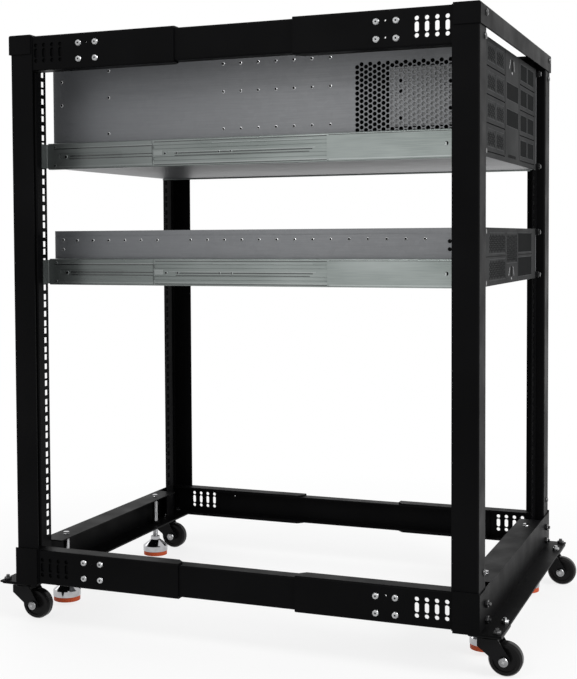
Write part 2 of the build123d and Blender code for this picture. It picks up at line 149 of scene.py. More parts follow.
def addBump(tree, shader, height, strength, distance):
    bump = tree.nodes.new("ShaderNodeBump")
    bump.inputs["Strength"].default_value = strength
    bump.inputs["Distance"].default_value = distance
    tree.links.new(height, bump.inputs["Height"])
    tree.links.new(bump.outputs["Normal"], shader.inputs["Normal"])


def setTone(tree, shader, tone):
    tree.links.new(tone, shader.inputs["Base Color"])


def setRoughness(tree, shader, source, limits):
    tree.links.new(spread(tree, source, *limits), shader.inputs["Roughness"])


# painted steel and rubber; grain sizes and depths are in metres
powderCoat = {
    "color": (0.0021, 0.0021, 0.0023), "second": (0.004, 0.004, 0.0043),
    "roughness": (0.36, 0.5), "specular": 0.03, "speckle": 0.0011, "speckleDepth": 0.00006,
}
castingSteel = {
    "color": (0.0042, 0.0042, 0.0046), "second": (0.009, 0.009, 0.0095),
    "roughness": (0.28, 0.42), "specular": 0.08,
}
wheelRubber = {
    "color": (0.0048, 0.0048, 0.0052), "second": (0.0095, 0.0092, 0.009),
    "roughness": (0.2, 0.36), "specular": 0.1,
}
# dark joints and seams; also painted shade in screw recesses, rivet bores, holes, the hand slot and the housing's
# inside behind the vent screens
darkJointAndShade = {
    "color": (0.0022, 0.0022, 0.0024), "second": (0.0042, 0.0042, 0.0042),
    "roughness": (0.6, 0.75), "specular": 0.03,
}
padRubber = {
    "color": (0.60, 0.095, 0.022), "second": (0.46, 0.065, 0.016),
    "roughness": (0.5, 0.66), "specular": 0.3,
}
# black steel of bolts and screws; on the slides it also makes strips of painted shade in grooves and under flanges
blackBoltAndShade = {
    "color": (0.008, 0.008, 0.009), "second": (0.022, 0.022, 0.023),
    "roughness": (0.14, 0.3), "specular": 0.7,
}
coatGrain = {"flat": 0.4, "patch": 0.16, "smudge": 0.05, "speckle": 0.0012, "speckleDepth": 0.00004, "bump": 0.35}


def coatFinish(name, values):
    values = dict(coatGrain, **values)
    finish, tree, shader = startFinish(name, values["color"], values["flat"], specular=values["specular"])
    patches = addGrain(tree, values["patch"], detail=4).outputs["Fac"]
    setTone(tree, shader, blendColors(tree, spread(tree, patches, 0, 1), values["color"], values["second"]))
    smudges = addGrain(tree, values["smudge"], detail=5).outputs["Fac"]
    setRoughness(tree, shader, smudges, values["roughness"])
    speckle = addGrain(tree, values["speckle"], detail=2).outputs["Fac"]
    addBump(tree, shader, speckle, values["bump"], values["speckleDepth"])
    return finish


# bare and plated metal
chromePlate = {"color": (0.50, 0.50, 0.51), "dull": (0.38, 0.38, 0.39), "roughness": (0.05, 0.16)}
# bright bolt steel; in the axle heads' crosses it is a painted highlight
boltSteelAndHighlight = {"color": (0.50, 0.505, 0.51), "dull": (0.32, 0.325, 0.33), "roughness": (0.2, 0.34)}
axleSteel = {"color": (0.32, 0.322, 0.326), "dull": (0.19, 0.192, 0.195), "roughness": (0.22, 0.36)}
metalGrain = {"flat": 0.3, "wear": 0.012, "fine": 0.0015, "bump": 0.25, "bumpDepth": 0.00004}


def metalFinish(name, values):
    values = dict(metalGrain, **values)
    finish, tree, shader = startFinish(name, values["color"], values["flat"], metallic=1.0)
    wear = addGrain(tree, values["wear"], detail=4).outputs["Fac"]
    setTone(tree, shader, blendColors(tree, spread(tree, wear, 0, 1), values["color"], values["dull"]))
    setRoughness(tree, shader, wear, values["roughness"])
    fine = addGrain(tree, values["fine"], detail=2).outputs["Fac"]
    addBump(tree, shader, fine, values["bump"], values["bumpDepth"])
    return finish


# rolled sheet with a spangle, with painted shade that darkens it towards the rear
galvanised = {
    "color": (0.215, 0.22, 0.228), "dull": (0.165, 0.17, 0.178), "roughness": (0.36, 0.48), "metallic": 0.5,
    "shade": (0.10, 0.105, 0.113), "depth": (-0.10, 0.34), "shadeShare": 0.8,
    "spangle": 0.009, "spangleShare": 0.35, "spangleBand": (0.1, 0.9),
    "rolled": 0.05, "rolling": (28, 1, 28), "rolledShare": 0.5,
    "flat": 0.4, "bump": 0.12, "bumpDepth": 0.00006,
}
# the drive cage's sheet: the galvanised sheet made paler and less metallic, painted light that makes up for the shade
# behind the screen
innerSheetPaintedLight = dict(
    galvanised, color=(0.37, 0.375, 0.38), dull=(0.28, 0.285, 0.29), shade=(0.28, 0.285, 0.29), metallic=0.1,
)


def sheetFinish(name, values):
    finish, tree, shader = startFinish(name, values["color"], values["flat"], metallic=values["metallic"])
    cells = addGrain(tree, values["spangle"], kind="ShaderNodeTexVoronoi").outputs["Color"]
    rolled = addGrain(tree, values["rolled"], values["rolling"], detail=5).outputs["Fac"]
    spangled = spread(tree, cells, 0, values["spangleShare"], *values["spangleBand"])
    tone = blendColors(tree, spangled, values["color"], values["dull"])
    tone = blendColors(tree, spread(tree, rolled, 0, values["rolledShare"]), tone, values["dull"])
    # painted shade: the sheet darkens towards the rear
    tone = blendColors(tree, paintedShadeTowardsRear(tree, values["depth"], values["shadeShare"]), tone, values["shade"])
    setTone(tree, shader, tone)
    setRoughness(tree, shader, rolled, values["roughness"])
    addBump(tree, shader, rolled, values["bump"], values["bumpDepth"])
    return finish


# zinc plate in long streaks with pale clouds, with painted shade that darkens it towards the rear
zincPlate = {
    "color": (0.335, 0.375, 0.36), "dull": (0.25, 0.284, 0.272), "roughness": (0.24, 0.38), "metallic": 0.5,
    "cloud": (0.49, 0.53, 0.517), "patch": 0.07, "patchStretch": (1, 0.35, 1),
    "cloudShare": 0.7, "cloudBand": (0.42, 0.72),
    "shade": (0.055, 0.060, 0.060), "depth": (-0.30, 0.34), "shadeShare": 0.85,
    "streak": 0.06, "streakStretch": (60, 1.2, 60),
    "flat": 0.3, "bump": 0.15, "bumpDepth": 0.00005,
}
# a paler copy of the zinc plate, painted highlight on the slides' raised beads, tabs and rivets
zincPaintedHighlight = dict(zincPlate, color=(0.56, 0.6, 0.59), dull=(0.44, 0.48, 0.47))


def zincFinish(name, values):
    finish, tree, shader = startFinish(name, values["color"], values["flat"], metallic=values["metallic"])
    streaks = addGrain(tree, values["streak"], values["streakStretch"], detail=5).outputs["Fac"]
    patches = addGrain(tree, values["patch"], values["patchStretch"], detail=3).outputs["Fac"]
    clouds = spread(tree, patches, 0, values["cloudShare"], *values["cloudBand"])
    tone = blendColors(tree, spread(tree, streaks, 0, 1), values["color"], values["dull"])
    tone = blendColors(tree, clouds, tone, values["cloud"])
    # painted shade: the plate darkens towards the rear
    tone = blendColors(tree, paintedShadeTowardsRear(tree, values["depth"], values["shadeShare"]), tone, values["shade"])
    setTone(tree, shader, tone)
    setRoughness(tree, shader, patches, values["roughness"])
    addBump(tree, shader, streaks, values["bump"], values["bumpDepth"])
    return finish


# textured plastic of the bezels
bezelPlastic = {
    "color": (0.0115, 0.012, 0.0125), "pale": (0.0155, 0.016, 0.0165), "roughness": (0.42, 0.55),
    "specular": 0.02, "flat": 0.5, "patch": 0.09, "texture": 0.0007, "textureDepth": 0.00005, "bump": 0.3,
}
panelPlastic = dict(
    bezelPlastic, color=(0.0085, 0.0088, 0.009), pale=(0.0115, 0.012, 0.0122), specular=0.006, roughness=(0.6, 0.75),
)
# a paler copy of the bezel plastic, painted highlight for the cells' edges
rimHighlightPlastic = dict(bezelPlastic, color=(0.021, 0.0225, 0.0235), pale=(0.03, 0.0315, 0.033), specular=0.05)


def plasticFinish(name, values):
    finish, tree, shader = startFinish(name, values["color"], values["flat"], specular=values["specular"])
    patches = addGrain(tree, values["patch"], detail=4).outputs["Fac"]
    setTone(tree, shader, blendColors(tree, spread(tree, patches, 0, 1), values["color"], values["pale"]))
    setRoughness(tree, shader, patches, values["roughness"])
    leather = addGrain(tree, values["texture"], kind="ShaderNodeTexVoronoi").outputs["Distance"]
    addBump(tree, shader, leather, values["bump"], values["textureDepth"])
    return finish


finishes = {
    "coat": coatFinish("blackPowderCoat", powderCoat),
    "caster": coatFinish("blackCasterSteel", castingSteel),
    "wheel": coatFinish("blackWheelTread", wheelRubber),
    "gapAndShade": coatFinish("darkJointsAndPaintedShade", darkJointAndShade),
    "pad": coatFinish("orangePadRubber", padRubber),
    "chrome": metalFinish("chromePlate", chromePlate),
    "bolt": metalFinish("brightBoltSteelAndHighlight", boltSteelAndHighlight),
    "axle": metalFinish("axleSteel", axleSteel),
    "black": coatFinish("blackBoltAndPaintedShade", blackBoltAndShade),
    "sheet": sheetFinish("galvanisedSheet", galvanised),
    "inner": sheetFinish("innerSheetWithPaintedLight", innerSheetPaintedLight),
    "zinc": zincFinish("greenishZincPlate", zincPlate),
    "bright": zincFinish("paleZincPaintedHighlight", zincPaintedHighlight),
    "bezel": plasticFinish("darkBezelPlastic", bezelPlastic),
    "panel": plasticFinish("insetPanelPlastic", panelPlastic),
    "rimHighlight": plasticFinish("paintedHighlightRimPlastic", rimHighlightPlastic),
}
finishOf = {
    "top_beam": "coat", "base_beam": "coat", "post": "coat", "side_sleeve": "coat", "side_bar": "coat",
    "caster_mount": "caster", "caster_fork": "caster", "wheel": "wheel", "foot_pad": "pad", "foot": "chrome",
    "chassis": "sheet", "vent_panel": "sheet", "bezel": "bezel", "slide": "zinc",
}
for name, node in nodes.items():
    start = max((start for start in finishOf if name.startswith(start)), key=len)
    node.data.materials.clear()
    node.data.materials.append(finishes[finishOf[start]])
print("finishes made:", len(finishes))


# small shapes that are stamped many times; their sizes are in millimetres
def keepShape(shape, name):
    mesh = bpy.data.meshes.new(name)
    shape.to_mesh(mesh)
    shape.free()
    return mesh


def spinProfile(points, steps, inner=None):
    # faces whose middle lies within the inner radius get the second finish
    backward = -0.5  # faces that look further back than this keep the first finish
    shape = bmesh.new()
    rim = [shape.verts.new((r * mm, 0, z * mm)) for r, z in points]
    edges = [shape.edges.new(pair) for pair in zip(rim, rim[1:])]
    bmesh.ops.spin(shape, geom=rim + edges, cent=(0, 0, 0), axis=(0, 0, 1), angle=math.tau, steps=steps,
                   use_merge=True)
    bmesh.ops.remove_doubles(shape, verts=shape.verts, dist=seamGap)
    bmesh.ops.recalc_face_normals(shape, faces=shape.faces)
    for face in shape.faces:
        middle = face.calc_center_median()
        face.material_index = int(bool(inner) and middle.xy.length < inner * mm and face.normal.z > backward)
    return shape


# cross-recess heads, as shares of the flat middle and of the whole head
crossForm = {"land": 0.62, "armEnd": 0.6, "taper": 0.8, "rings": ((0.86, 0.72), (1.0, 0.3), (1.0, 0.0))}


def makeCrossHead(name, values):
    # a grid whose middle cross is pushed down, with its border rounded out to the rim; the cross takes the second
    # finish, dark as painted shade on most heads and pale as a painted highlight on the axle heads
    flat, height, arm = values["flat"] * mm, values["height"] * mm, values["crossWidth"] * mm / 2
    land = flat * crossForm["land"]
    head = bmesh.new()
    bmesh.ops.create_grid(head, x_segments=5, y_segments=5, size=1)
    rows = dict(zip((-5, -3, -1, 1, 3, 5), (-flat, -land, -arm, arm, land, flat)))
    for v in head.verts:
        v.co = (rows[round(v.co.x * 5)], rows[round(v.co.y * 5)], height)
    cross = []
    for face in head.faces:
        near, far = sorted(abs(c) / flat for c in face.calc_center_median().xy)
        if round(near, 1) == 0 and far < crossForm["armEnd"]:
            face.material_index = 1
            cross.append(face)
    pushed = bmesh.ops.extrude_face_region(head, geom=cross)
    for v in [g for g in pushed["geom"] if isinstance(g, bmesh.types.BMVert)]:
        v.co.z -= values["recess"] * mm
        v.co.xy *= crossForm["taper"]
    border = [e for e in head.edges if e.is_boundary]
    for radiusShare, heightShare in crossForm["rings"]:
        grown = bmesh.ops.extrude_edge_only(head, edges=border)
        border = [g for g in grown["geom"] if isinstance(g, bmesh.types.BMEdge)]
        for v in {v for e in border for v in e.verts}:
            v.co.xy = v.co.xy.normalized() * radiusShare * values["radius"] * mm
            v.co.z = heightShare * height
    bmesh.ops.holes_fill(head, edges=border, sides=0)
    bmesh.ops.recalc_face_normals(head, faces=head.faces)
    return keepShape(head, name)


def makeHexNut(name, values):
    radius, height = values["radius"] * mm, values["height"] * mm
    nut = bmesh.new()
    bmesh.ops.create_cone(nut, cap_ends=True, segments=6, radius1=radius, radius2=radius, depth=height)
    bmesh.ops.translate(nut, verts=nut.verts, vec=(0, 0, height / 2))
    rims = [e for e in nut.edges if abs(e.verts[0].co.z - e.verts[1].co.z) < seamGap]
    bmesh.ops.bevel(nut, geom=rims, offset=values["bevel"] * mm, affect="EDGES", segments=2, profile=0.5, material=-1)
    top = max(nut.faces, key=lambda f: f.calc_center_median().z)
    bmesh.ops.inset_region(nut, faces=[top], thickness=values["land"] * mm)
    tip = bmesh.ops.extrude_discrete_faces(nut, faces=[top])["faces"][0]
    bmesh.ops.translate(nut, verts=tip.verts, vec=(0, 0, values["tip"] * mm))
    return keepShape(nut, name)


crossHead = makeCrossHead("crossHead", {"radius": 5.2, "flat": 2.7, "height": 2.6, "recess": 1.5, "crossWidth": 1.4})
axleHead = makeCrossHead("axleHead", {"radius": 7.0, "flat": 3.9, "height": 2.6, "recess": 1.6, "crossWidth": 1.7})
plateNut = makeHexNut("plateNut", {"radius": 6.0, "height": 4.6, "bevel": 0.6, "land": 2.4, "tip": 3.4})

# round shapes: radius and height of each corner, steps round, radius of the dark middle; the rivet's dark middle is
# painted shade in its bore, and the flat dark disc is painted shade standing for a hole
roundShapes = {
    "rivetHead": ([(0, 0.15), (1.6, 0.15), (1.8, 0.6), (2.3, 0.5), (2.8, 0.05), (2.8, -0.2), (0, -0.2)], 10, 1.65),
    "holeShadeDisc": ([(0, 0.25), (2.7, 0.25), (3.1, 0.1), (3.1, -0.2), (0, -0.2)], 14, None),
    "thumbScrew": ([(0, 10.2), (3.2, 10.2), (4.0, 9.6), (4.0, 7.6), (5.5, 7.2), (5.8, 6.6), (5.8, 1.2),
                    (5.1, 0.7), (5.1, -0.1), (0, -0.1)], 18, 4.05),
}
rivetHead, holeShadeDisc, thumbScrew = (keepShape(spinProfile(*form), name) for name, form in roundShapes.items())


def paintNew(target, oldFaces, kind):
    for face in set(target.faces) - oldFaces:
        face.material_index = kind


def stamp(target, template, place, kind=None):
    # a copy of the template, in one finish where a kind is given
    oldVerts, oldFaces = set(target.verts), set(target.faces)
    target.from_mesh(template)
    bmesh.ops.transform(target, matrix=place, verts=[v for v in target.verts if v not in oldVerts])
    if kind is not None:
        paintNew(target, oldFaces, kind)


def facing(point, direction, turn=0.0):
    # the place at a point in millimetres whose own upward axis looks along the direction
    turned = Vector(direction).to_track_quat("Z", "Y").to_matrix().to_4x4() @ Matrix.Rotation(turn, 4, "Z")
    return Matrix.Translation(Vector(point) * mm) @ turned


def addBlock(target, low, high, bevel=0.3, kind=0):
    # a box between two corners in millimetres, its edges softened
    low, high = Vector(low) * mm, Vector(high) * mm
    oldFaces = set(target.faces)
    size = Matrix.Diagonal((*(high - low), 1))
    block = bmesh.ops.create_cube(target, size=1, matrix=Matrix.Translation((low + high) / 2) @ size)
    edges = list(dict.fromkeys(e for v in block["verts"] for e in v.link_edges))
    bmesh.ops.bevel(target, geom=edges, offset=bevel * mm, affect="EDGES", segments=1, profile=0.5, material=-1)
    paintNew(target, oldFaces, kind)


def makePerforated(name, size, thickness, holes, diameter, holeSides):
    # a flat sheet in its own plane, cut by round or six-sided holes, centred on the origin
    sheet = bmesh.new()
    plate = Matrix.Diagonal((size[0] * mm, size[1] * mm, 1, 1))
    bmesh.ops.create_grid(sheet, x_segments=1, y_segments=1, size=0.5, matrix=plate)
    bmesh.ops.delete(sheet, geom=sheet.faces[:], context="FACES_ONLY")
    for x, y in holes:
        bmesh.ops.create_circle(sheet, cap_ends=False, segments=holeSides, radius=diameter / 2 * mm,
                                matrix=Matrix.Translation((x * mm, y * mm, 0)))
    bmesh.ops.triangle_fill(sheet, use_beauty=True, use_dissolve=False, edges=sheet.edges[:], normal=(0, 0, 1))
    grown = bmesh.ops.extrude_face_region(sheet, geom=sheet.faces[:])
    raised = [g for g in grown["geom"] if isinstance(g, bmesh.types.BMVert)]
    bmesh.ops.translate(sheet, verts=raised, vec=(0, 0, thickness * mm))
    bmesh.ops.recalc_face_normals(sheet, faces=sheet.faces)
    return keepShape(sheet, name)


def makePiece(name, shape, finishNames, body):
    mesh = keepShape(shape, name)
    for kind in finishNames:
        mesh.materials.append(finishes[kind])
    for face in mesh.polygons:
        face.use_smooth = False
    piece = bpy.data.objects.new(name, mesh)
    bpy.context.scene.collection.objects.link(piece)
    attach(piece, body)
    return piece


print("templates made")

# screws that hold the side rails, four at each end of each rail; their cross recesses are dark, painted shade
railScrews = {
    "webX": 298.0,
    "rows": {
        "upper_rear": ((260, 230), (948.0, 922.7)), "upper_front": ((-233, -263), (947.0, 921.6)),
        "lower_rear": ((261, 231), (110.4, 84.7)), "lower_front": ((-231, -261), (106.6, 81.0)),
    },
    "turn": 0.3, "turnStep": 0.9,
}


def placeRailScrews(values):
    for label, (along, heights) in values["rows"].items():
        for side, direction in sides.items():
            screws = bmesh.new()
            for y in along:
                for z in heights:
                    # each head is turned unlike its neighbours
                    turn = values["turn"] + values["turnStep"] * ((y * 7 + z) % 5)
                    stamp(screws, crossHead, facing((direction * values["webX"], y, z), (direction, 0, 0), turn))
            makePiece("rail_screws_" + label + "_" + side, screws, ["bolt", "gapAndShade"], "frame")


placeRailScrews(railScrews)
print("rail screws placed")


# black screws and nuts on the beams' faces, plate bolts on the feet shelves; the screws' cross recesses are dark,
# painted shade
frameBolts = {
    "top": ((-264, 955), (283, 955)), "strip": ((-265, 922), (284, 922), (-266, 148), (284, 148)),
    "base": ((-263, 102), (-261, 78), (263, 102), (261, 78)),
    "topFace": 387.0, "stripFace": 385.0, "baseFace": 387.0,
    "shelfTop": 68.0, "shelfBolts": {"bolt": 235, "black": 291}, "shelfRows": (374, 410),
    "screwTurn": 0.4, "nutTurn": 0.5, "shelfTurn": 0.3,
}


def placeFrameBolts(values):
    for end, direction in ends.items():
        bolts = bmesh.new()
        for group in ("top", "strip"):
            for x, z in values[group]:
                point = (x, direction * values[group + "Face"], z)
                stamp(bolts, crossHead, facing(point, (0, direction, 0), values["screwTurn"] + x))
        for x, z in values["base"]:
            point = (x, direction * values["baseFace"], z)
            stamp(bolts, plateNut, facing(point, (0, direction, 0), values["nutTurn"]))
        makePiece("beam_bolts_" + end, bolts, ["black", "gapAndShade"], "frame")
        for kind, x in values["shelfBolts"].items():
            nuts = bmesh.new()
            for side in sides.values():
                for y in values["shelfRows"]:
                    point = (side * x, direction * y, values["shelfTop"])
                    stamp(nuts, plateNut, facing(point, (0, 0, 1), values["shelfTurn"] * side))
            makePiece("shelf_nuts_" + kind + "_" + end, nuts, [kind], "frame")


placeFrameBolts(frameBolts)
print("frame bolts placed")


# axle bolts on both cheeks of each caster, the cross in brighter steel than the head as a painted highlight
axleBolts = {"turn": 0.5}


def placeAxleBolts(values):
    for corner in corners:
        low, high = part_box("caster_fork_" + corner)
        wheelLow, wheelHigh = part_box("wheel_" + corner)
        middle = (Vector(wheelLow) + Vector(wheelHigh)) / 2
        heads = bmesh.new()
        for x, direction in ((low[0], -1), (high[0], 1)):
            point = (x / mm, middle.y / mm, middle.z / mm)
            stamp(heads, axleHead, facing(point, (direction, 0, 0), values["turn"]))
        makePiece("axle_bolts_" + corner, heads, ["axle", "bolt"], "fork_" + corner)


placeAxleBolts(axleBolts)
print("axle bolts placed")


# rolled thread on the levelling studs
studThread = {"low": 43.5, "high": 125.0, "pitch": 1.75, "crest": 5.35, "root": 4.9, "core": 4.0, "steps": 16}


def cutStudThreads(values):
    bottom, pitch = values["low"], values["pitch"]
    count = int((values["high"] - bottom) / pitch)
    for corner in corners:
        low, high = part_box("foot_" + corner)
        centre = (Vector(low) + Vector(high)) / 2
        points = [(values["core"], bottom), (values["root"], bottom)]
        for turn in range(count):
            foot = bottom + turn * pitch
            points += [(values["crest"], foot + pitch / 2), (values["root"], foot + pitch)]
        points += [(values["core"], points[-1][1]), (values["core"], bottom)]
        thread = spinProfile(points, values["steps"])
        bmesh.ops.translate(thread, verts=thread.verts, vec=(centre.x, centre.y, 0))
        makePiece("stud_thread_" + corner, thread, ["chrome"], "foot_" + corner)


cutStudThreads(studThread)
print("stud threads cut")


# perforated sides of the upper housing, with the drive cage behind them and a dark sheet of painted shade behind that,
# for the housing's dark inside
ventScreen = {
    "hole": 6.7, "holeSides": 12, "columns": 25, "columnPitch": 6.93, "firstColumn": -176.6, "rowPitch": 8.0,
    "evenRows": (799.5, 13), "oddRows": (795.5, 14), "sheet": 1.2,
    "cage": ((-350.0, 803.0), (-226.0, 893.0)), "cageX": (203.6, 205.0),
    "shadeSheet": ((-351.0, 789.5), (-171.0, 913.0)), "shadeSheetX": (198.0, 199.0),
    "spots": ((-243.5, 856.6), (-243.5, 815.6), (-243.5, 872.4), (-320.6, 867.7), (-320.6, 827.4)),
}


def listVentHoles(values, direction, middle):
    holes = []
    for column in range(values["columns"]):
        y = values["firstColumn"] - column * values["columnPitch"]
        first, count = values["oddRows"] if column % 2 else values["evenRows"]
        holes += [(direction * (y - middle.y), first + row * values["rowPitch"] - middle.z) for row in range(count)]
    return holes


def buildVentScreens(values):
    for side, direction in sides.items():
        low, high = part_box("vent_panel_" + side)
        middle = (Vector(low) + Vector(high)) / 2 / mm
        size = ((high[1] - low[1]) / mm, (high[2] - low[2]) / mm)
        holes = listVentHoles(values, direction, middle)
        sheet = makePerforated("ventSheet", size, values["sheet"], holes, values["hole"], values["holeSides"])
        screen = bmesh.new()
        inner = min(abs(low[0]), abs(high[0])) / mm
        stamp(screen, sheet, facing((direction * inner, middle.y, middle.z), (direction, 0, 0)))
        piece = makePiece("vent_screen_" + side, screen, ["sheet"], "housing_upper")
        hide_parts("vent_panel_" + side)
        cage = bmesh.new()
        # the cage in the paler inner finish, then the dark sheet of painted shade
        for key, kind in (("cage", 0), ("shadeSheet", 1)):
            (yLow, zLow), (yHigh, zHigh) = values[key]
            xLow, xHigh = sorted(direction * x for x in values[key + "X"])
            addBlock(cage, (xLow, yLow, zLow), (xHigh, yHigh, zHigh), kind=kind)
        # dark discs of painted shade stand for holes in the cage
        for y, z in values["spots"]:
            stamp(cage, holeShadeDisc, facing((direction * values["cageX"][1], y, z), (direction, 0, 0)), 1)
        makePiece("drive_cage_" + side, cage, ["inner", "gapAndShade"], "housing_upper")


buildVentScreens(ventScreen)
print("vent screens perforated")


# rivets along the housings' sides: the upper one in three short rows, the lower one in one long row
housingRivets = {
    "sideX": 209.5,
    "upper": [(254, 913), (254, 869), (254.5, 809.5), (344, 899), (344, 860)]
    + [(y, z) for y in (47, 17, -13, -43, -73, -103, -133) for z in (913, 869, 810)],
    "lower": [(317 - 30 * i, 633) for i in range(21) if i != 6] + [(344, 634), (344, 618)],
    "lowerHoles": ((-320.8, 629), (-320.8, 617)),
}


def placeHousingRivets(values):
    for level in levels:
        for side, direction in sides.items():
            rivets = bmesh.new()
            for y, z in values[level]:
                stamp(rivets, rivetHead, facing((direction * values["sideX"], y, z), (direction, 0, 0)))
            makePiece("housing_rivets_" + level + "_" + side, rivets, ["bolt", "gapAndShade"], "housing_" + level)
            if level == "lower":
                # dark discs of painted shade stand for the lower housing's holes
                spots = bmesh.new()
                for y, z in values["lowerHoles"]:
                    stamp(spots, holeShadeDisc, facing((direction * values["sideX"], y, z), (direction, 0, 0)))
                makePiece("housing_holes_" + level + "_" + side, spots, ["gapAndShade"], "housing_" + level)


placeHousingRivets(housingRivets)
print("housing rivets placed")


# stamped details on the outer slide members and on the brackets that overlap their ends, with strips of painted
# highlight and painted shade along them
slideDetails = {
    "faceX": 222.0, "bracketX": 223.2, "bracketEnds": (-134.0, 167.0), "middle": {"upper": 774.3, "lower": 580.6},
    # rivets: y and z from the slide's middle line
    "rivets": ((145.2, -1), (124.0, -1), (50.5, -1), (29.4, -1), (350, 15), (350, -16)), "rivetScale": 0.9,
    "boss": (328.6, -1.5), "bossScale": 1.25, "catch": (-319.0, 0.0),
    # tab and catch lip: from y, to y, from z, to z, rise
    "tabs": ((150.0, 166.0, -4.0, 4.5, 0.5), (-319.6, -316.6, -3.2, 2.0, 0.9)),
    # strips along beads, grooves and joints: from y, to y, from z, to z, finish (0, pale zinc: painted highlight; 1,
    # dark: a joint; 2, black: painted shade in grooves and under flanges)
    "lines": (
        (168, 352, 13.2, 14.9, 0), (168, 352, 11.6, 12.8, 2), (168, 352, -18.6, -16.6, 0),
        (168, 322, -0.9, 0.4, 2), (168, 322, -5.6, -4.3, 2),
        (-113, 140, 0.4, 1.6, 0), (-108, 128, -1.9, -0.6, 2), (-103, 128, -5.6, -4.6, 2),
        (-108, 62, 13.4, 14.6, 0), (-133, 165, 17.4, 18.4, 2), (-132, 165, -17.6, -16.0, 0),
        (-132, 165, -19.6, -18.6, 2), (-134.4, -131.8, -20.5, 20.0, 1),
        (-366, -135, -19.4, -17.8, 0), (-366, -135, 18.6, 19.4, 2), (166.4, 167.4, -20.5, 20.0, 0),
    ),
    "lineRise": 0.3, "seat": 0.1, "bevel": 0.12,
}


def placeSlideDetails(values):
    front, rear = values["bracketEnds"]
    rivets = [(*place, values["rivetScale"]) for place in values["rivets"]]
    rivets.append((*values["boss"], values["bossScale"]))
    strips = [(*tab, 0) for tab in values["tabs"]]
    strips += [(*line[:4], values["lineRise"], line[4]) for line in values["lines"]]

    def outerFace(y):
        return values["bracketX"] if y < front or y > rear else values["faceX"]

    for level in levels:
        middle = values["middle"][level]
        for side, direction in sides.items():
            details = bmesh.new()
            for y, z, scale in rivets:
                place = facing((direction * outerFace(y), y, middle + z), (direction, 0, 0))
                stamp(details, rivetHead, place @ Matrix.Scale(scale, 4))
            # the catch hole is a dark disc of painted shade
            y, z = values["catch"]
            stamp(details, holeShadeDisc, facing((direction * outerFace(y), y, middle + z), (direction, 0, 0)), 1)
            for yLow, yHigh, zLow, zHigh, rise, kind in strips:
                inner, outer = values["faceX"] - values["seat"], outerFace((yLow + yHigh) / 2) + rise
                xLow, xHigh = sorted((direction * inner, direction * outer))
                addBlock(details, (xLow, yLow, middle + zLow), (xHigh, yHigh, middle + zHigh), values["bevel"], kind)
            makePiece("slide_details_" + level + "_" + side, details, ["bright", "gapAndShade", "black"], "frame")


placeSlideDetails(slideDetails)
print("slide details placed")


# the right-hand bars end short of the rear posts, so daylight shows through the rear slots
rightBars = {"end": 278.0}


def shortenRightBars(values):
    for level in levels:
        name = "side_bar_" + level + "_right"
        bar = bmesh.new()
        bar.from_mesh(nodes[name].data)
        bmesh.ops.remove_doubles(bar, verts=bar.verts, dist=seamGap)
        cut = bmesh.ops.bisect_plane(bar, geom=bar.verts[:] + bar.edges[:] + bar.faces[:],
                                     plane_co=(0, values["end"] * mm, 0), plane_no=(0, 1, 0), clear_outer=True)
        edges = [g for g in cut["geom_cut"] if isinstance(g, bmesh.types.BMEdge)]
        bmesh.ops.triangle_fill(bar, use_beauty=True, use_dissolve=False, edges=edges, normal=(0, 1, 0))
        bmesh.ops.recalc_face_normals(bar, faces=bar.faces)
        piece = makePiece("short_bar_" + level + "_right", bar, ["coat"], "frame")
        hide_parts(name)


shortenRightBars(rightBars)
print("right-hand bars shortened")


# captive thumbscrews on the housings' ears
earScrews = {"x": 232.55, "face": 370.8, "upper": (925.75, 760.65), "lower": (643.2, 566.95)}


def placeEarScrews(values):
    for level in levels:
        screws = bmesh.new()
        for side in sides.values():
            for z in values[level]:
                stamp(screws, thumbScrew, facing((side * values["x"], -values["face"], z), (0, -1, 0)))
        makePiece("ear_screws_" + level, screws, ["caster", "black"], "housing_" + level)


placeEarScrews(earScrews)
print("ear screws placed")


# covers, grilles and latches on the bezels; x and z are in the bezel's own plane
bezelFace = {
    "plane": 374.0, "recess": 0.9, "rim": 1.1, "rimBevel": 0.25,
    "coverGap": 0.1, "coverDepth": 0.3, "coverBury": 0.2, "coverBevel": 0.1,
    "grille": {
        "pitch": 6.6, "hole": 5.9, "holeSides": 6, "sheet": 0.3, "border": 3, "firstColumn": 0.6, "topSpare": 0.35,
    },
    "upperCells": {"columns": (99.0, 165.0), "rows": (783.4, 825.8, 868.1, 910.5), "size": (58.0, 28.4)},
    "upperCentre": {"rows": (825.8, 868.1), "size": (98.0, 28.4)},
    "lowerCells": {"columns": (116.0,), "rows": (584.8, 625.3), "size": (128.0, 33.5)},
    "lowerCentre": {"place": (0.0, 617.0), "size": (90.0, 50.1)},
    # seams: from x, to x, from z, to z
    "seams": {
        "upper": ((-58.6, -56.9, 766, 930), (52.4, 54.1, 766, 930)),
        "lower": ((-210, -54, 604.4, 605.9), (52, 182, 604.4, 605.9), (-50.4, -49.2, 563, 646), (49.2, 50.4, 563, 646)),
    },
    "seamRise": 0.05, "seamDepth": 0.5, "seamBevel": 0.1,
    "handSlot": ((-35.0, 761.8), (30.0, 767.2)), "slotRise": 0.1, "slotDepth": 0.6,
}
bezelFinishes = ["bezel", "panel", "rimHighlight", "gapAndShade", "axle"]

# latches: x, z and height of each, a dark slot between two leaning arms, and a rivet below
bezelLatch = {
    "upper": (-3.6, 911.7, 19.0), "lower": (-4.5, 578.9, 16.8),
    "slotHalf": 6.5, "slotRise": 0.15, "slotDepth": 0.8, "slotBevel": 0.4,
    "arms": ((-19.0, -0.62), (16.5, 0.5)), "armHalf": 1.1, "armBury": 0.1, "armRise": 0.25, "armBevel": 0.2,
    "rivetDrop": 3.2, "rivetScale": 0.9,
}


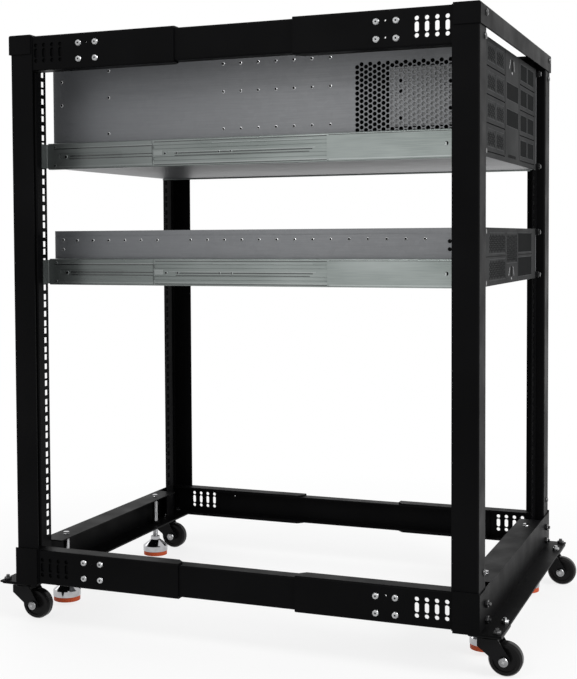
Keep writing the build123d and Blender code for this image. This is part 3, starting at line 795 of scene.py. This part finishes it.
def makeGrille(values, size):
    pitch = values["pitch"]
    step = pitch * math.sqrt(3) / 2
    wide, high = size[0] - values["border"], size[1] - values["border"]
    holes = []
    for column in range(int(wide / step)):
        x = -wide / 2 + (column + values["firstColumn"]) * step
        shift = pitch / 2 if column % 2 else 0
        for row in range(int(high / pitch)):
            y = -high / 2 + (row + 0.5) * pitch + shift
            if y < high / 2 - pitch * values["topSpare"]:
                holes.append((x, y))
    return makePerforated("grilleSheet", size, values["sheet"], holes, values["hole"], values["holeSides"])


def listCells(values):
    # every cell as its middle, its size and whether a grille fills it
    cells = {level: [] for level in levels}
    for side in sides.values():
        for level in levels:
            block = values[level + "Cells"]
            for column in block["columns"]:
                cells[level] += [((side * column, z), block["size"], side < 0) for z in block["rows"]]
    cells["upper"] += [((0, z), values["upperCentre"]["size"], False) for z in values["upperCentre"]["rows"]]
    cells["lower"].append((values["lowerCentre"]["place"], values["lowerCentre"]["size"], True))
    return cells


def addRim(target, middle, size, values):
    # a narrow lip round a cell, level with the bezel's face, in paler plastic as a painted highlight along the cell's
    # edges
    x, z = middle
    wide, high, rim = size[0] / 2, size[1] / 2, values["rim"]
    front, back = -values["plane"], -values["plane"] + values["recess"]
    for xLow, xHigh, zLow, zHigh in ((-wide, rim - wide, -high, high), (wide - rim, wide, -high, high),
                                     (-wide, wide, -high, rim - high), (-wide, wide, high - rim, high)):
        addBlock(target, (x + xLow, front, z + zLow), (x + xHigh, back, z + zHigh), values["rimBevel"],
                 bezelFinishes.index("rimHighlight"))


def addLatch(target, place, values, front):
    x, z, tall = place
    steel, half = bezelFinishes.index("axle"), tall / 2
    arm = bmesh.new()
    addBlock(arm, (-values["armHalf"], -half, -values["armBury"]), (values["armHalf"], half, values["armRise"]),
             values["armBevel"])
    armMesh = keepShape(arm, "latchArm")
    addBlock(target, (x - values["slotHalf"], front - values["slotRise"], z - half),
             (x + values["slotHalf"], front + values["slotDepth"], z + half), values["slotBevel"],
             bezelFinishes.index("gapAndShade"))
    for shift, lean in values["arms"]:
        stamp(target, armMesh, facing((x + shift, front, z), (0, -1, 0), lean), steel)
    rivetPlace = facing((x, front, z - half - values["rivetDrop"]), (0, -1, 0))
    stamp(target, rivetHead, rivetPlace @ Matrix.Scale(values["rivetScale"], 4), steel)


def buildBezels(values, latch):
    front = -values["plane"]
    floor = front + values["recess"]
    cells = listCells(values)
    grilles = {}
    for level in levels:
        face = bmesh.new()
        for (x, z), size, grilled in cells[level]:
            wide, high = size[0] / 2 - values["coverGap"], size[1] / 2 - values["coverGap"]
            addBlock(face, (x - wide, floor - values["coverDepth"], z - high),
                     (x + wide, floor + values["coverBury"], z + high), values["coverBevel"],
                     bezelFinishes.index("panel"))
            if grilled:
                if size not in grilles:
                    grilles[size] = makeGrille(values["grille"], size)
                place = facing((x, floor - values["coverDepth"], z), (0, -1, 0))
                stamp(face, grilles[size], place, bezelFinishes.index("bezel"))
            addRim(face, (x, z), size, values)
        for xLow, xHigh, zLow, zHigh in values["seams"][level]:
            addBlock(face, (xLow, front - values["seamRise"], zLow), (xHigh, front + values["seamDepth"], zHigh),
                     values["seamBevel"], bezelFinishes.index("gapAndShade"))
        addLatch(face, latch[level], latch, front)
        makePiece("bezel_covers_" + level, face, bezelFinishes, "housing_" + level)
    # the hand slot is a dark strip, painted shade for its opening
    (xLow, zLow), (xHigh, zHigh) = values["handSlot"]
    slot = bmesh.new()
    addBlock(slot, (xLow, front - values["slotRise"], zLow), (xHigh, front + values["slotDepth"], zHigh))
    makePiece("bezel_hand_slot", slot, ["gapAndShade"], "housing_upper")


buildBezels(bezelFace, bezelLatch)
print("bezel covers built")


# floor, lamps and white surroundings
studio = {
    "floorColor": (0.9, 0.9, 0.9), "floorRoughness": 0.7, "floorSpecular": 0.1, "floorSize": 14.0,
    # the floor glows white further out, so only the rack's shadow shows on it
    "floorGlow": (0.8, 1.0), "glowReach": (0.5, 1.2),
    "ambient": 0.5, "whiteSeen": 1.0,
    "lamps": {
        "front": {"place": (-0.9, -3.4, 2.4), "aim": (0, 0, 0.5), "size": 1.8, "power": 112},
        "side": {"place": (-3.2, 0.6, 2.6), "aim": (0, 0, 0.6), "size": 1.2, "power": 24},
        "rear": {"place": (1.6, 2.6, 2.8), "aim": (0, 0, 0.5), "size": 2.2, "power": 34},
    },
}


def seenWhite(tree):
    # one for what the camera sees, straight or in gloss and glass, and nothing for the light on the rack
    rays = tree.nodes.new("ShaderNodeLightPath")
    first = tree.nodes.new("ShaderNodeMath")
    second = tree.nodes.new("ShaderNodeMath")
    first.operation = second.operation = "MAXIMUM"
    tree.links.new(rays.outputs["Is Camera Ray"], first.inputs[0])
    tree.links.new(rays.outputs["Is Glossy Ray"], first.inputs[1])
    tree.links.new(first.outputs[0], second.inputs[0])
    tree.links.new(rays.outputs["Is Transmission Ray"], second.inputs[1])
    return second.outputs[0]


def buildFloor(values):
    floor = bmesh.new()
    bmesh.ops.create_grid(floor, x_segments=1, y_segments=1, size=values["floorSize"] / 2)
    mesh = keepShape(floor, "studioFloor")
    ground = bpy.data.objects.new("studioFloor", mesh)
    bpy.context.scene.collection.objects.link(ground)
    paint, tree, shader = startFinish("paleFloor", values["floorColor"], values["floorRoughness"],
                                      specular=values["floorSpecular"])
    glow = tree.nodes.new("ShaderNodeEmission")
    glow.inputs["Strength"].default_value = 1.0
    where = tree.nodes.new("ShaderNodeTexCoord")
    reach = tree.nodes.new("ShaderNodeVectorMath")
    reach.operation = "LENGTH"
    tree.links.new(where.outputs["Object"], reach.inputs[0])
    share = tree.nodes.new("ShaderNodeMath")
    share.operation = "MULTIPLY"
    glowing = spread(tree, reach.outputs["Value"], *values["floorGlow"], *values["glowReach"])
    tree.links.new(seenWhite(tree), share.inputs[0])
    tree.links.new(glowing, share.inputs[1])
    join = tree.nodes.new("ShaderNodeMixShader")
    for source, socket in zip((share, shader, glow), join.inputs):
        tree.links.new(source.outputs[0], socket)
    tree.links.new(join.outputs[0], tree.nodes["Material Output"].inputs["Surface"])
    mesh.materials.append(paint)


def buildRoom(values):
    world = bpy.data.worlds.new("studioRoom")
    bpy.context.scene.world = world
    world.use_nodes = True
    sky = world.node_tree
    back = sky.nodes["Background"]
    level = spread(sky, seenWhite(sky), values["ambient"], values["whiteSeen"], 0, 1)
    back.inputs["Color"].default_value = (1, 1, 1, 1)
    sky.links.new(level, back.inputs["Strength"])


def placeLamps(lamps):
    for name, lamp in lamps.items():
        data = bpy.data.lights.new(name + "Lamp", "AREA")
        data.shape = "SQUARE"
        data.size = lamp["size"]
        data.energy = lamp["power"]
        light = bpy.data.objects.new(name + "Lamp", data)
        bpy.context.scene.collection.objects.link(light)
        light.location = lamp["place"]
        light.rotation_mode = "QUATERNION"
        aim = Vector(lamp["aim"]) - Vector(lamp["place"])
        light.rotation_quaternion = aim.to_track_quat("-Z", "Y")


buildFloor(studio)
buildRoom(studio)
placeLamps(studio["lamps"])
bpy.context.scene.view_settings.view_transform = "Standard"
print("studio built")
